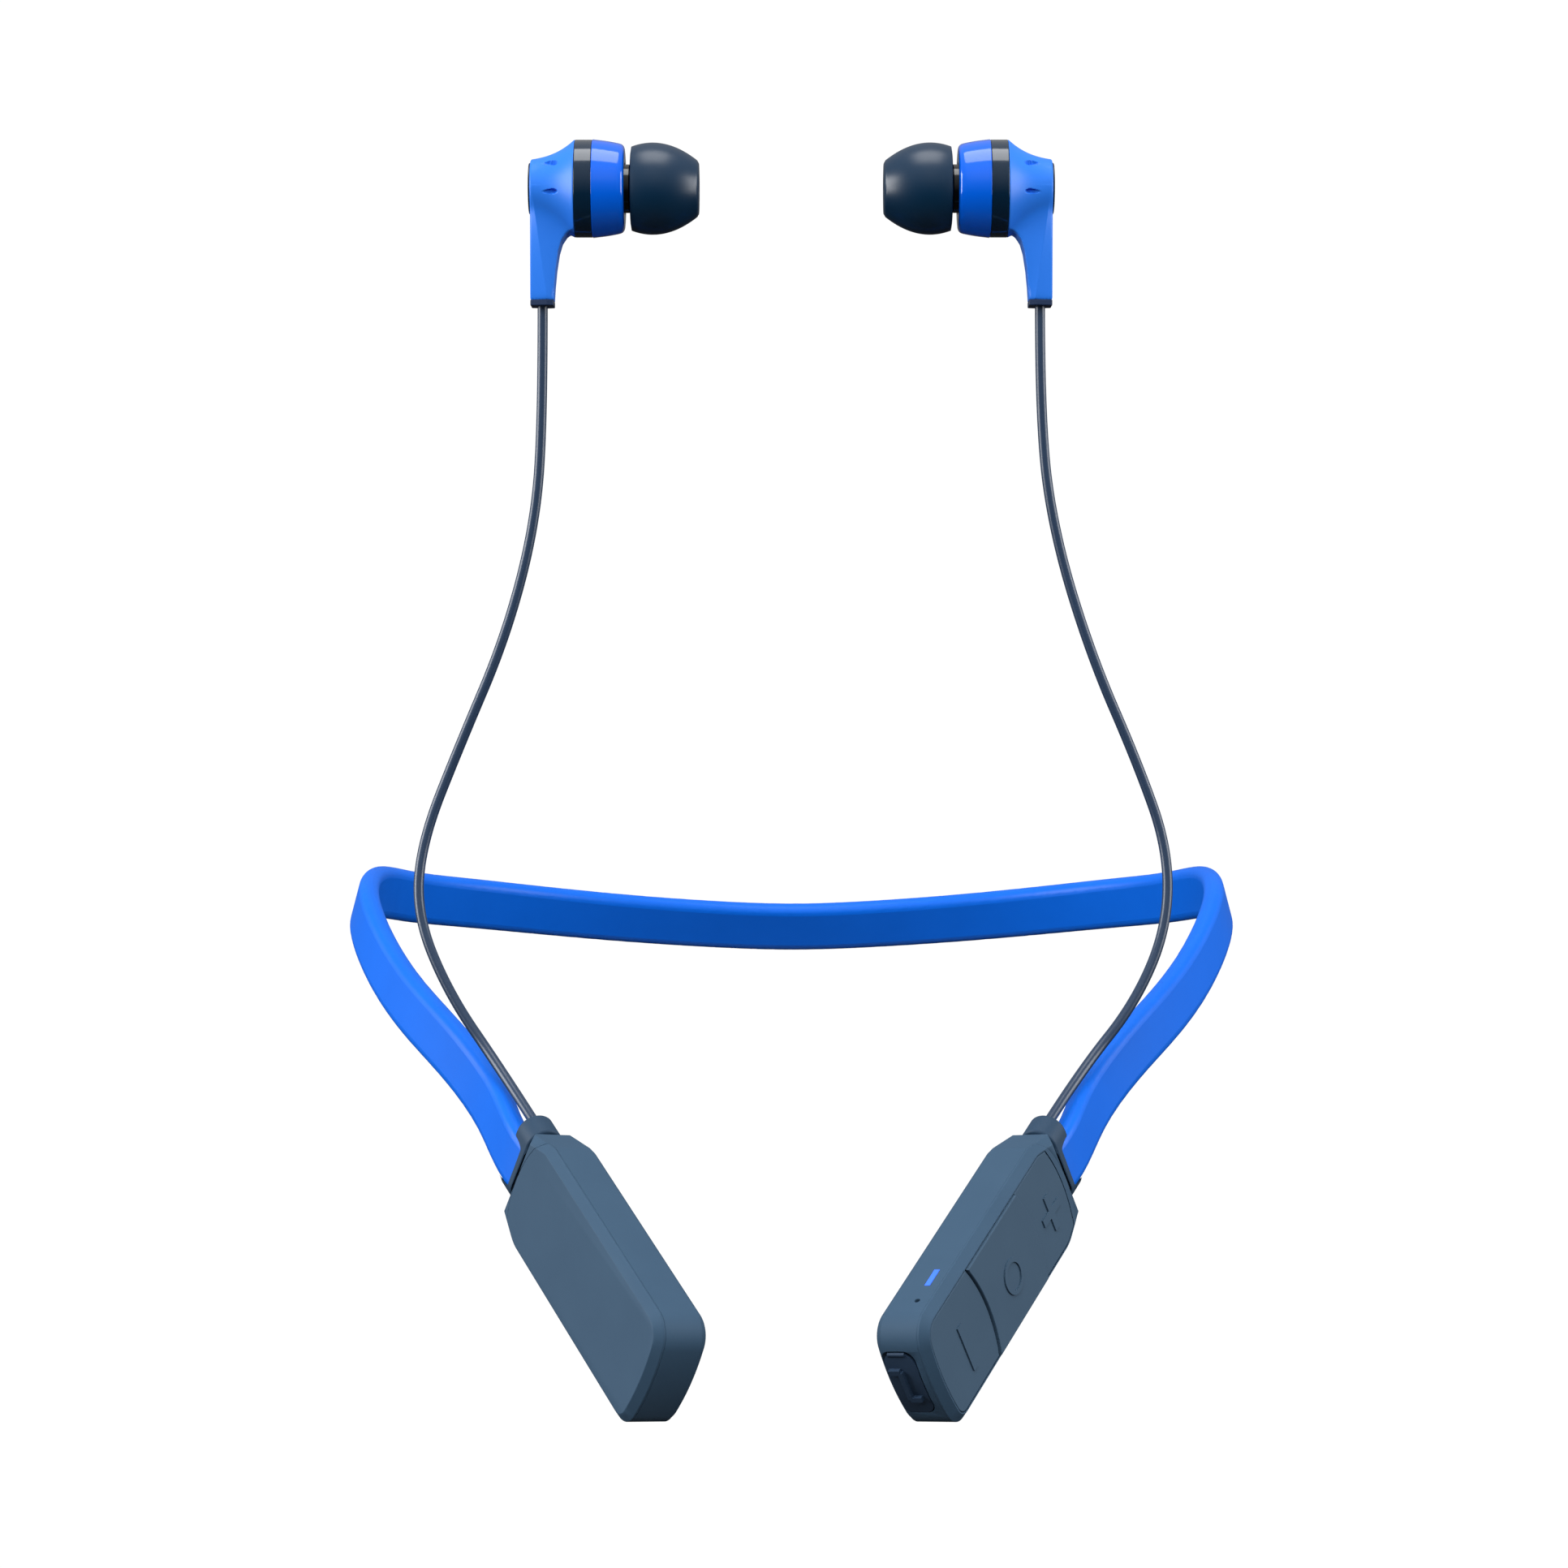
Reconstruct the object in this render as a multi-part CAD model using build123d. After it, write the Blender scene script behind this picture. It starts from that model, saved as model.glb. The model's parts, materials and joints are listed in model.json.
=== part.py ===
from build123d import *
from math import cos, pi, radians, sin, sqrt, tan
import os

# Neckband earphones as they are worn: a flexible strap behind the neck, a slab-shaped housing
# at each of its front ends, and an earbud on a thin cord from each housing.
# Millimetres. X is to the wearer's left-hand side as seen from the front (the viewer's right),
# Y runs backwards, Z up. The origin is the middle of the strap's inner face, at the nape.
# Everything is drawn for the +X side. The -X side is its mirror image.

# ------------------------------------------------------------ driving dimensions
# Strap
loop_half_width = 63.5      # mid-plane to the strap's centreline where the loop is widest
loop_depth = 109.0          # nape to the strap's front ends
loop_drop = 28.6            # nape to the strap's front ends, downwards
strap_width = 7.7
strap_thickness = 3.0
strap_edge_radius = 1.3
lean_at_nape = 25.0         # degrees that the strap's top edge leans in towards the neck
lean_at_ends = 5.0
core_wire_diameter = 0.9
wiring_diameter = 1.3
channel_spacing = 3.6       # between the centres of the wire's and the wiring's channels
channel_clearance = 0.4
seat_clearance = 0.06       # collars and housing necks round the strap
strap_insertion = 2.6       # how far the strap runs on into each housing
channel_overrun = 1.0

# Housings, in a frame of their own: x outwards from the face that shows, y to the upper
# inner edge, z forwards from the strap's end
housing_width = 16.0
housing_thickness = 8.0
housing_length = 44.5
housing_offset = 0.8        # housing centre above the strap's centre, to make room for the cord
housing_wall = 1.2
end_bow = 1.1               # how far the middle of a housing's end stands out
back_edge_radius = 2.2
front_chamfer = 1.0
inner_end_radius = 4.0
outer_end_radius = 2.8
inner_shoulder_length = 6.5
outer_shoulder_length = 7.0
inner_shoulder_radius = 3.5
outer_shoulder_radius = 7.0
cover_depth = 1.25          # parting line below the outer face
cover_line_z = 2.6          # the cover's upper edge at the housing's middle
cover_line_sag = 2.6        # how much later it starts at the two sides
floor_thickness = 0.7       # the cover's floor under the keys
cover_lip_depth = 1.2       # the battery cover's lip, inside the back shell

# End collars
collar_length = 3.7
collar_gap = 0.8            # groove between collar and housing
collar_wall = 1.0
collar_thickness = 5.2
neck_step = 0.7             # the neck in the groove is this much smaller all round
neck_start = 0.9            # where a housing begins, past the strap's end plane
collar_rim_radius = 0.4

# Keys and switches
key_travel = 0.35
key_gap = 0.1
key_height = 0.6
key_rim = 1.15              # housing face left round the keys
key_edge_radius = 0.15
key_floor_clearance = 0.05  # left under a key that is pressed home
play_key_start = 13.6
play_key_end = 29.3
play_key_rise = 0.35        # the middle key stands above its neighbours
key_arc_sag = 2.4
glyph_height = 0.2
glyph_stroke = 1.15
plus_size = 5.2
minus_size = 6.6
glyph_sink = 0.1            # how deep a glyph is rooted in its key
ring_mark_radius = 2.4
ring_mark_stroke = 0.6
stem_wall = 0.3             # a key's stem is this much wider than the plunger, all round
stem_clearance = 0.2
switch_size = 3.0
switch_height = 1.1
plunger_diameter = 1.5
plunger_clearance = 0.1
plunger_floor = 0.15        # a switch's base under its plunger
plunger_height = 0.9        # of a plunger above its switch

# Electronics
board_thickness = 0.8
board_clearance = 0.3
module_size = (1.2, 8.0, 9.0)
battery_size = (4.2, 11.0, 29.0)
battery_edge_radius = 1.0
protection_board_length = 3.6
protection_board_inset = 1.0   # narrower than the battery at each side
module_start_z = 22.0
receptacle_size = (2.6, 7.5, 4.8)
receptacle_wall = 0.3
tongue_thickness = 0.6
tongue_width = 4.0
tongue_block = 1.0          # the block that carries the tongue, in the socket's back
contact_clearance = 0.05
led_size = (1.0, 1.35, 1.4)
microphone_size = (1.8, 1.15, 2.4)

# Charging port cover
port_cover_width = 5.0
port_cover_length = 9.6
port_cover_thickness = 0.9
port_cover_centre_x = -0.7
port_cover_centre_y = 0.6
port_cover_corner = 1.5
port_cover_gap = 0.12
port_plug_depth = 0.8
port_plug_clearance = 0.2
hinge_radius = 0.3
hinge_inset = 0.1           # the hinge's axis below the end's surface
hinge_corner = 2.3          # rounder corners at the hinge, which clear the pocket as it opens
grip_height = 0.5
grip_root = 0.25
grip_stroke = 0.7
grip_length = 4.2
grip_serif = 1.6
knuckle_length = 2.4

# Status light and microphone
light_window = (0.75, 3.2)
light_z = 33.6
light_x = 1.0
microphone_z = 38.2
microphone_hole_diameter = 0.7
light_pipe_foot = (1.8, 0.75)   # the pipe's wider foot: across the window, and deep
light_pipe_margin = 0.3
wall_gap = 0.05             # between a part and the wall that it stands against

# Earbuds: x along the sound axis towards the ear, measured from the badge's outer face
earbud_half_spacing = 35.85
earbud_y = -88.0
earbud_z = 104.0
body_radius = 6.7
back_radius = 3.95
badge_radius = 3.5
badge_thickness = 0.25
rear_shell_length = 6.05
flare_dip = 0.75            # the flare's middle below a straight line
vent_size = (2.2, 0.95)
vent_heights = (3.0, -1.0)
vent_depth = 0.8
accent_ring_length = 2.4
front_shell_length = 4.4
front_shell_end_radius = 5.95
front_shell_edge_radius = 0.9
shell_wall = 1.2
nozzle_base_radius = 3.3
nozzle_base_length = 0.8
nozzle_radius = 2.3
nozzle_barb_radius = 2.55
nozzle_bore_radius = 1.5
nozzle_length = 5.6
fit_clearance = 0.1
eartip_length = 9.35
eartip_radius = 6.25
eartip_back_radius = 5.7
eartip_front_radius = 3.6
eartip_widest = 3.0
eartip_skin = 0.8
eartip_core_wall = 0.8
stem_length = 16.15
stem_cap_thickness = 0.8
stem_depth_foot = 3.2
stem_foot_sizes = (2.5, 3.45, 1.7, 2.2, 1.9)   # ridge x, inner x; half widths there and outside
stem_sections = [           # height, then the same sizes, from the body down to the foot
    (-1.0, (0.6, 6.0, 2.7, 3.1, 3.2)),
    (-6.4, (1.2, 5.2, 2.6, 3.0, 2.9)),
    (-8.6, (1.5, 4.2, 2.4, 2.8, 2.6)),
]
driver_radius = 5.1
driver_gap = 0.7            # behind the driver, to the rear shell
driver_base = 0.5           # the can's back wall
driver_rim = 0.35
driver_wall = 0.9
magnet_radius = 2.5
magnet_gap = 0.9            # from the magnet's face to the can's mouth
coil_gap = 0.25
coil_wall = 0.3
coil_length = 1.0
film_thickness = 0.15
dome_height = 0.45

# Cords
cord_diameter = 1.4
cord_above_strap = 5.2      # cord centre above the strap's centre where both enter the collar

# ------------------------------------------------------------ routes chosen by hand
# Strap centreline of the +X half, nape to front end: shares of half width, depth and drop.
# The first corner is on the mid-plane, so the loop is rounded there too.
strap_route = [
    (0.000, 0.024, -0.010),
    (0.344, -0.006, 0.035),
    (0.672, -0.092, 0.115),
    (0.906, -0.239, 0.190),
    (1.005, -0.459, 0.255),
    (0.891, -0.651, -0.189),
    (0.706, -0.826, -0.521),
    (0.534, -1.000, -1.000),
]

# Cord corners between the earbud and the collar; the two cords hang a little differently
right_cord_bends = [
    (34.0, -88.0, 71.5),
    (36.0, -88.0, 56.5),
    (41.0, -88.5, 40.0),
    (47.2, -89.0, 25.6),
    (51.3, -90.2, 13.8),
    (51.0, -92.2, 3.1),
    (46.4, -95.4, -7.0),
    (38.91, -99.39, -15.72),
]
left_cord_bends = [
    (-34.0, -88.0, 72.5),
    (-35.0, -88.0, 58.2),
    (-39.0, -88.5, 42.7),
    (-45.3, -89.0, 27.8),
    (-50.3, -90.2, 14.9),
    (-50.9, -92.4, 5.0),
    (-46.3, -95.6, -5.6),
    (-38.91, -99.39, -15.72),
]


# ------------------------------------------------------------ helpers
def bend_radii(points):
    """Largest arc for each corner: 0.45 of its shorter run over the tangent of half its turn."""
    radii = []
    for before, corner, after in zip(points, points[1:], points[2:]):
        run_in = Vector(*corner) - Vector(*before)
        run_out = Vector(*after) - Vector(*corner)
        turn = radians(run_in.get_angle(run_out))
        shorter = min(run_in.length, run_out.length)
        radii.append(0.45 * shorter / tan(turn / 2))
    return radii


def box_at(x, y, z):
    """A box from the lowest and highest value along each axis."""
    size = [high - low for low, high in (x, y, z)]
    middle = [(high + low) / 2 for low, high in (x, y, z)]
    return Pos(*middle) * Box(*size)


def ring_of(points):
    """A solid of revolution about X from a closed list of (x, radius) points."""
    return revolve(Plane.XY * make_face(Polyline(*points, close=True)), Axis.X)


def to_other_side(shape):
    return mirror(shape, about=Plane.YZ)


nodes = {}


def keep(name, shape):
    nodes[name] = shape


# ------------------------------------------------------------ strap and its frames
half_route = [
    (across * loop_half_width, forward * loop_depth, up * loop_drop)
    for across, forward, up in strap_route
]
whole_route = [(-x, y, z) for x, y, z in half_route[:0:-1]] + half_route
strap_path = FilletPolyline(*whole_route, radius=bend_radii(whole_route))


def strap_plane(share):
    """Section plane at a share of the half strap: x outwards, y up, z along it to the front."""
    place = strap_path.position_at(0.5 + share / 2)
    along = strap_path.tangent_at(0.5 + share / 2)
    sideways = Vector(0, 0, 1).cross(along).normalized()
    upright = along.cross(sideways)
    eased = share * share * (3 - 2 * share)
    lean = radians(lean_at_nape + (lean_at_ends - lean_at_nape) * eased)
    outwards = sideways * cos(lean) + upright * sin(lean)
    return Plane(origin=place, x_dir=outwards, z_dir=along)


def mirrored_plane(plane):
    """The same section plane on the -X half, still facing the way that the strap runs."""
    place, outwards, along = plane.origin, plane.x_dir, plane.z_dir
    return Plane(
        origin=(-place.X, place.Y, place.Z),
        x_dir=(-outwards.X, outwards.Y, outwards.Z),
        z_dir=(along.X, -along.Y, -along.Z),
    )


strap_stations = 13
right_planes = [strap_plane(n / (strap_stations - 1)) for n in range(strap_stations)]
strap_planes = [mirrored_plane(plane) for plane in right_planes[:0:-1]] + right_planes
end_plane = right_planes[-1]


def lofted_along_strap(section, overrun):
    """A section carried along the whole strap, run past both end planes by the overrun."""
    first = strap_planes[0].offset(-overrun)
    last = strap_planes[-1].offset(overrun)
    planes = [first] + strap_planes[1:-1] + [last]
    return loft([plane * section for plane in planes])


def strap_pieces():
    section = RectangleRounded(strap_thickness, strap_width, strap_edge_radius)
    band = lofted_along_strap(section, strap_insertion)
    for name, diameter, height in (
        ("strap_core_wire", core_wire_diameter, -channel_spacing / 2),
        ("strap_wiring", wiring_diameter, channel_spacing / 2),
    ):
        channel = Pos(0, height) * Circle(diameter / 2 + channel_clearance)
        band -= lofted_along_strap(channel, strap_insertion + channel_overrun)
        keep(name, lofted_along_strap(Pos(0, height) * Circle(diameter / 2), strap_insertion))
    keep("neckband_strap", band)


def strap_seat():
    """The space that the strap takes up, with clearance, in the frame of the +X housing."""
    section = RectangleRounded(
        strap_thickness + 2 * seat_clearance,
        strap_width + 2 * seat_clearance,
        strap_edge_radius + seat_clearance,
    )
    return end_plane.location.inverse() * lofted_along_strap(section, strap_insertion + seat_clearance)


# ------------------------------------------------------------ housing forms
low_side = housing_offset - housing_width / 2
high_side = housing_offset + housing_width / 2
face_x = housing_thickness / 2
parting_x = face_x - cover_depth
back_wall_x = -face_x + housing_wall
cavity_start_z = cover_line_z + cover_line_sag + housing_wall
collar_low = -strap_width / 2 - collar_wall
collar_high = cord_above_strap + cord_diameter / 2 + collar_wall
collar_middle = (collar_low + collar_high) / 2
collar_width = collar_high - collar_low
half_width = housing_width / 2
bow_radius = (half_width ** 2 + end_bow ** 2) / (2 * end_bow)


def end_surface(y):
    """Height of a housing's bowed end at a place across it."""
    return housing_length - bow_radius + sqrt(bow_radius ** 2 - (y - housing_offset) ** 2)


def housing_outline():
    """Outline seen square to the outer face: sketch x is the housing's y, sketch y its z."""
    end_corner = housing_length - end_bow
    corners = [
        (low_side, end_corner),
        (low_side, outer_shoulder_length),
        (collar_low, neck_start),
        (collar_high, neck_start),
        (high_side, inner_shoulder_length),
        (high_side, end_corner),
    ]
    rounding = {
        0: outer_end_radius,
        1: outer_shoulder_radius,
        4: inner_shoulder_radius,
        5: inner_end_radius,
    }
    bowed_end = ThreePointArc(corners[-1], (housing_offset, housing_length), corners[0])
    face = make_face([Polyline(*corners), bowed_end])
    for index, radius in rounding.items():
        place = Vector(*corners[index], 0)
        corner = min(face.vertices(), key=lambda v: (v.center() - place).length)
        face = fillet(corner, radius)
    return face


def across_housing(sketch, low, high):
    """A sketch of the outer face's view made solid between two heights of x."""
    return extrude(Plane.YZ.offset(low) * sketch, high - low)


def housing_body():
    """The closed outer form of a housing, before it is split and hollowed."""
    body = across_housing(housing_outline(), -face_x, face_x)
    rims = [edge for edge in body.edges() if edge.center().Z > neck_start + 0.1]
    body = fillet([edge for edge in rims if abs(edge.center().X + face_x) < 0.01], back_edge_radius)
    rims = [edge for edge in body.edges() if edge.center().Z > neck_start + 0.1]
    body = chamfer([edge for edge in rims if abs(edge.center().X - face_x) < 0.01], front_chamfer)
    thin = across_housing(housing_outline(), -collar_thickness / 2, collar_thickness / 2)
    ramp_side = Polyline(
        (collar_thickness / 2, neck_start),
        (face_x, cover_line_z),
        (face_x + 1, cover_line_z),
        (face_x + 1, neck_start - 1),
        (collar_thickness / 2, neck_start - 1),
        close=True,
    )
    ramp = extrude(Plane.XZ * make_face(ramp_side), housing_width * 2, both=True)
    body -= ramp
    body -= mirror(ramp, about=Plane.YZ)
    return body + thin


def cover_region(line_z, low_x, inset=0.0):
    """Everything forward of an arc across the housing, from low_x outwards."""
    middle = housing_offset
    reach = housing_width / 2 - inset
    front = housing_length + 5 - inset
    arc = ThreePointArc(
        (middle - reach, line_z + cover_line_sag),
        (middle, line_z),
        (middle + reach, line_z + cover_line_sag),
    )
    rest = Polyline(
        (middle + reach, line_z + cover_line_sag),
        (middle + reach, front),
        (middle - reach, front),
        (middle - reach, line_z + cover_line_sag),
    )
    return across_housing(make_face([arc, rest]), low_x, face_x + 3)


def cavity(low_x, high_x):
    """The hollow of a housing: its outline set in by the wall, from behind the neck on."""
    inner = offset(housing_outline(), -housing_wall)
    hollow = across_housing(inner, low_x, high_x)
    return hollow - neck_block(cavity_start_z)


def neck_block(high_z):
    """Everything in a housing up to a height: what stays solid round the strap's end."""
    return box_at((-housing_width, housing_width), (-housing_width, housing_width), (-housing_width, high_z))


collar_back = neck_start - collar_gap - collar_length
collar_front = neck_start - collar_gap


def obround_prism(width, thickness, low_z, high_z):
    """A rounded bar round the strap and the cord, between two places along the housing."""
    section = RectangleRounded(thickness, width, thickness / 2 - 0.01)
    return Pos(0, collar_middle, low_z) * extrude(section, high_z - low_z)


def collar():
    """The soft sleeve that holds strap and cord together behind a housing."""
    sleeve = obround_prism(collar_width, collar_thickness, collar_back, collar_front)
    rims = sleeve.faces().filter_by(Axis.Z).edges()
    sleeve = fillet(rims, collar_rim_radius)
    return sleeve - strap_seat()


def shell_body():
    """Housing with its neck, and the socket that the strap's end sits in."""
    neck = obround_prism(
        collar_width - 2 * neck_step, collar_thickness - 2 * neck_step, collar_front, neck_start + 2
    )
    return housing_body() + neck - strap_seat()


# ------------------------------------------------------------ battery housing
def battery_pieces():
    body = shell_body()
    region = cover_region(cover_line_z, parting_x)
    lip = offset(housing_outline(), -housing_wall - fit_clearance)
    lip -= offset(housing_outline(), -2 * housing_wall)
    lip_ring = across_housing(lip, parting_x - cover_lip_depth, parting_x)
    lip_ring -= neck_block(cavity_start_z + board_clearance)
    keep_place("battery_back_shell", body - region - cavity(back_wall_x, parting_x), -1)
    keep_place("battery_front_cover", (body & region) + lip_ring, -1)
    depth, width, length = battery_size
    cell_back = back_wall_x + fit_clearance
    cell_end = housing_length - end_bow - housing_wall - 2 * board_clearance
    cell_start = cell_end - length
    cell = box_at(
        (cell_back, cell_back + depth),
        (housing_offset - width / 2, housing_offset + width / 2),
        (cell_start, cell_end),
    )
    cell = fillet(cell.edges().filter_by(Axis.Z), battery_edge_radius)
    keep_place("battery_cell", cell, -1)
    board_middle = cell_back + depth / 2
    board_half = width / 2 - protection_board_inset
    board = box_at(
        (board_middle - board_thickness / 2, board_middle + board_thickness / 2),
        (housing_offset - board_half, housing_offset + board_half),
        (cell_start - protection_board_length, cell_start),
    )
    keep_place("battery_protection_board", board, -1)


def keep_place(name, shape, place):
    """Files a piece after moving it from the housing's frame to the strap's end."""
    moved = end_plane.location * shape
    keep(name, moved if place > 0 else to_other_side(moved))


# ------------------------------------------------------------ control housing
key_floor_x = face_x - key_height
pocket_floor_x = key_floor_x - key_travel - key_floor_clearance
board_front_x = -0.5
board_back_x = board_front_x - board_thickness
switch_top_x = board_front_x + switch_height
plunger_top_x = switch_top_x + plunger_height
plunger_low_x = board_front_x + key_travel + plunger_floor + key_floor_clearance
inner_end_z = housing_length - housing_wall

key_rows = {
    "plus_key": (cover_line_z + key_rim, play_key_start - key_gap / 2),
    "play_key": (play_key_start + key_gap / 2, play_key_end - key_gap / 2),
    "minus_key": (play_key_end + key_gap / 2, housing_length),
}
key_middles = {
    "plus_key": (cover_line_z + key_rim + play_key_start) / 2,
    "play_key": (play_key_start + play_key_end + key_arc_sag / 2) / 2,
    "minus_key": (play_key_end + housing_length - front_chamfer) / 2,
}


def between_arcs(low_line, high_line):
    """The band of a housing's face between two arcs that bulge towards the strap."""
    reach = housing_width / 2 + 1
    low_side_y, high_side_y = housing_offset - reach, housing_offset + reach
    low_arc = ThreePointArc(
        (low_side_y, low_line + key_arc_sag),
        (housing_offset, low_line),
        (high_side_y, low_line + key_arc_sag),
    )
    high_arc = ThreePointArc(
        (high_side_y, high_line + key_arc_sag),
        (housing_offset, high_line),
        (low_side_y, high_line + key_arc_sag),
    )
    sides = [
        Line((high_side_y, low_line + key_arc_sag), (high_side_y, high_line + key_arc_sag)),
        Line((low_side_y, high_line + key_arc_sag), (low_side_y, low_line + key_arc_sag)),
    ]
    return make_face([low_arc, high_arc] + sides)


def key_field(inset):
    """The part of the outer face that the three keys share."""
    return offset(housing_outline(), -key_rim - inset)


def glyph(name):
    """Raised plus and minus bars, and a plain ring on the middle key."""
    if name == "plus_key":
        sketch = Rectangle(plus_size, glyph_stroke) + Rectangle(glyph_stroke, plus_size)
    elif name == "minus_key":
        sketch = Rectangle(minus_size, glyph_stroke)
    else:
        sketch = Circle(ring_mark_radius) - Circle(ring_mark_radius - ring_mark_stroke)
    return Pos(0, key_middles[name]) * sketch


def pin_inwards(name, radius, low_x, high_x):
    """A round pin square to the outer face, under the middle of a key."""
    return Pos(low_x, 0, key_middles[name]) * Rot(0, 90, 0) * extrude(Circle(radius), high_x - low_x)


def control_keys():
    field = key_field(key_gap)
    rises = {"plus_key": 0.0, "play_key": play_key_rise, "minus_key": 0.0}
    for name, (low, high) in key_rows.items():
        top_x = face_x + rises[name]
        plate = across_housing(field & between_arcs(low, high), key_floor_x, top_x)
        plate = fillet([e for e in plate.edges() if abs(e.center().X - top_x) < 0.01], key_edge_radius)
        mark = across_housing(glyph(name), top_x - glyph_sink, top_x + glyph_height)
        stem = pin_inwards(name, plunger_diameter / 2 + stem_wall, plunger_top_x, key_floor_x)
        keep_place(name, plate + mark + stem, 1)
        plunger = pin_inwards(name, plunger_diameter / 2, plunger_low_x, plunger_top_x)
        keep_place(name.replace("key", "plunger"), plunger, 1)


def port_prism(inset, end_corner, low_z, high_z):
    """The rounded bar along z for the port's cover, with corners of their own at the hinge."""
    outline = Rectangle(port_cover_width - 2 * inset, port_cover_length - 2 * inset)
    outline = fillet(outline.vertices().group_by(Axis.Y)[-1], end_corner)
    outline = fillet(outline.vertices().group_by(Axis.Y)[0], port_cover_corner - inset)
    return Pos(port_cover_centre_x, port_cover_centre_y, low_z) * extrude(outline, high_z - low_z)


def receptacle_bar(thickness, width, low_z, high_z):
    section = RectangleRounded(thickness, width, thickness * 0.3)
    return Pos(port_cover_centre_x, port_cover_centre_y, low_z) * extrude(section, high_z - low_z)


past_end = housing_length + 1
port_floor_z = housing_length - port_cover_thickness
receptacle_mouth_z = port_floor_z - board_clearance / 3
receptacle_back_z = receptacle_mouth_z - receptacle_size[2]
hinge_y = port_cover_centre_y + port_cover_length / 2 - port_cover_gap - hinge_radius
hinge_z = end_surface(hinge_y) - hinge_inset


def port_cover(body):
    """Soft flap over the socket: it follows the housing's end, and turns on its upper edge."""
    inset = port_cover_gap
    plate = body & port_prism(inset, hinge_corner, port_floor_z + inset, past_end)
    above_hinge = box_at(
        (-face_x, face_x), (hinge_y, high_side), (port_floor_z, past_end)
    )
    plate -= above_hinge
    knuckle_place = Pos(port_cover_centre_x - knuckle_length / 2, hinge_y, hinge_z) * Rot(0, 90, 0)
    knuckle = knuckle_place * extrude(Circle(hinge_radius), knuckle_length)
    room = 2 * receptacle_wall + 2 * port_plug_clearance
    depth, width, _ = receptacle_size
    plug_low = port_floor_z - port_plug_depth
    plug = receptacle_bar(depth - room, width - room, plug_low, port_floor_z + 2 * inset)
    bar = (
        Rectangle(grip_stroke, grip_length)
        + Pos(-grip_serif / 2, grip_length / 2) * Rectangle(grip_serif, grip_stroke)
        + Pos(grip_serif / 2, -grip_length / 2) * Rectangle(grip_serif, grip_stroke)
    )
    grip_place = Pos(port_cover_centre_x, port_cover_centre_y, housing_length - grip_root)
    grip = grip_place * extrude(bar, grip_height + grip_root)
    return plate + knuckle + plug + grip


def control_pieces():
    body = shell_body()
    region = cover_region(cover_line_z, parting_x)
    back = body - region - cavity(back_wall_x, parting_x)
    back -= port_prism(0, port_cover_corner, port_floor_z, past_end)
    depth, width, _ = receptacle_size
    fit = 2 * fit_clearance
    back -= receptacle_bar(depth + fit, width + fit, inner_end_z - housing_wall, past_end)
    wall_inside = high_side - housing_wall
    window_depth, window_length = light_window
    window = box_at(
        (light_x - window_depth / 2, light_x + window_depth / 2),
        (wall_inside - housing_wall, high_side + housing_wall),
        (light_z - window_length / 2, light_z + window_length / 2),
    )
    back -= window
    sound_hole_place = Pos(light_x, wall_inside - housing_wall, microphone_z) * Rot(-90, 0, 0)
    back -= sound_hole_place * extrude(Circle(microphone_hole_diameter / 2), 3 * housing_wall)
    keep_place("control_back_shell", back, 1)
    keep_place("port_cover", port_cover(body), 1)

    cover = body & region
    pocket = key_field(0) & between_arcs(cover_line_z + key_rim - key_gap, past_end)
    cover -= across_housing(pocket, pocket_floor_x, face_x + 1)
    floor_outline = offset(housing_outline(), -housing_wall - fit_clearance)
    floor = across_housing(floor_outline, parting_x - floor_thickness, parting_x)
    cover += floor - neck_block(cavity_start_z + fit_clearance)
    for name in key_middles:
        cover -= pin_inwards(name, plunger_diameter / 2 + stem_wall + stem_clearance, 0, face_x + 1)
    keep_place("control_front_cover", cover, 1)

    pipe_inside = wall_inside - wall_gap
    foot_width, foot_depth = light_pipe_foot
    foot_half = window_length / 2 + light_pipe_margin
    pipe = window & box_at((-face_x, face_x), (pipe_inside, high_side), (0, past_end))
    pipe += box_at(
        (light_x + window_depth / 2 - foot_width, light_x + window_depth / 2),
        (pipe_inside - foot_depth, pipe_inside),
        (light_z - foot_half, light_z + foot_half),
    )
    keep_place("led_light_pipe", pipe, 1)
    control_electronics(pipe_inside - foot_depth - wall_gap)


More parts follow.
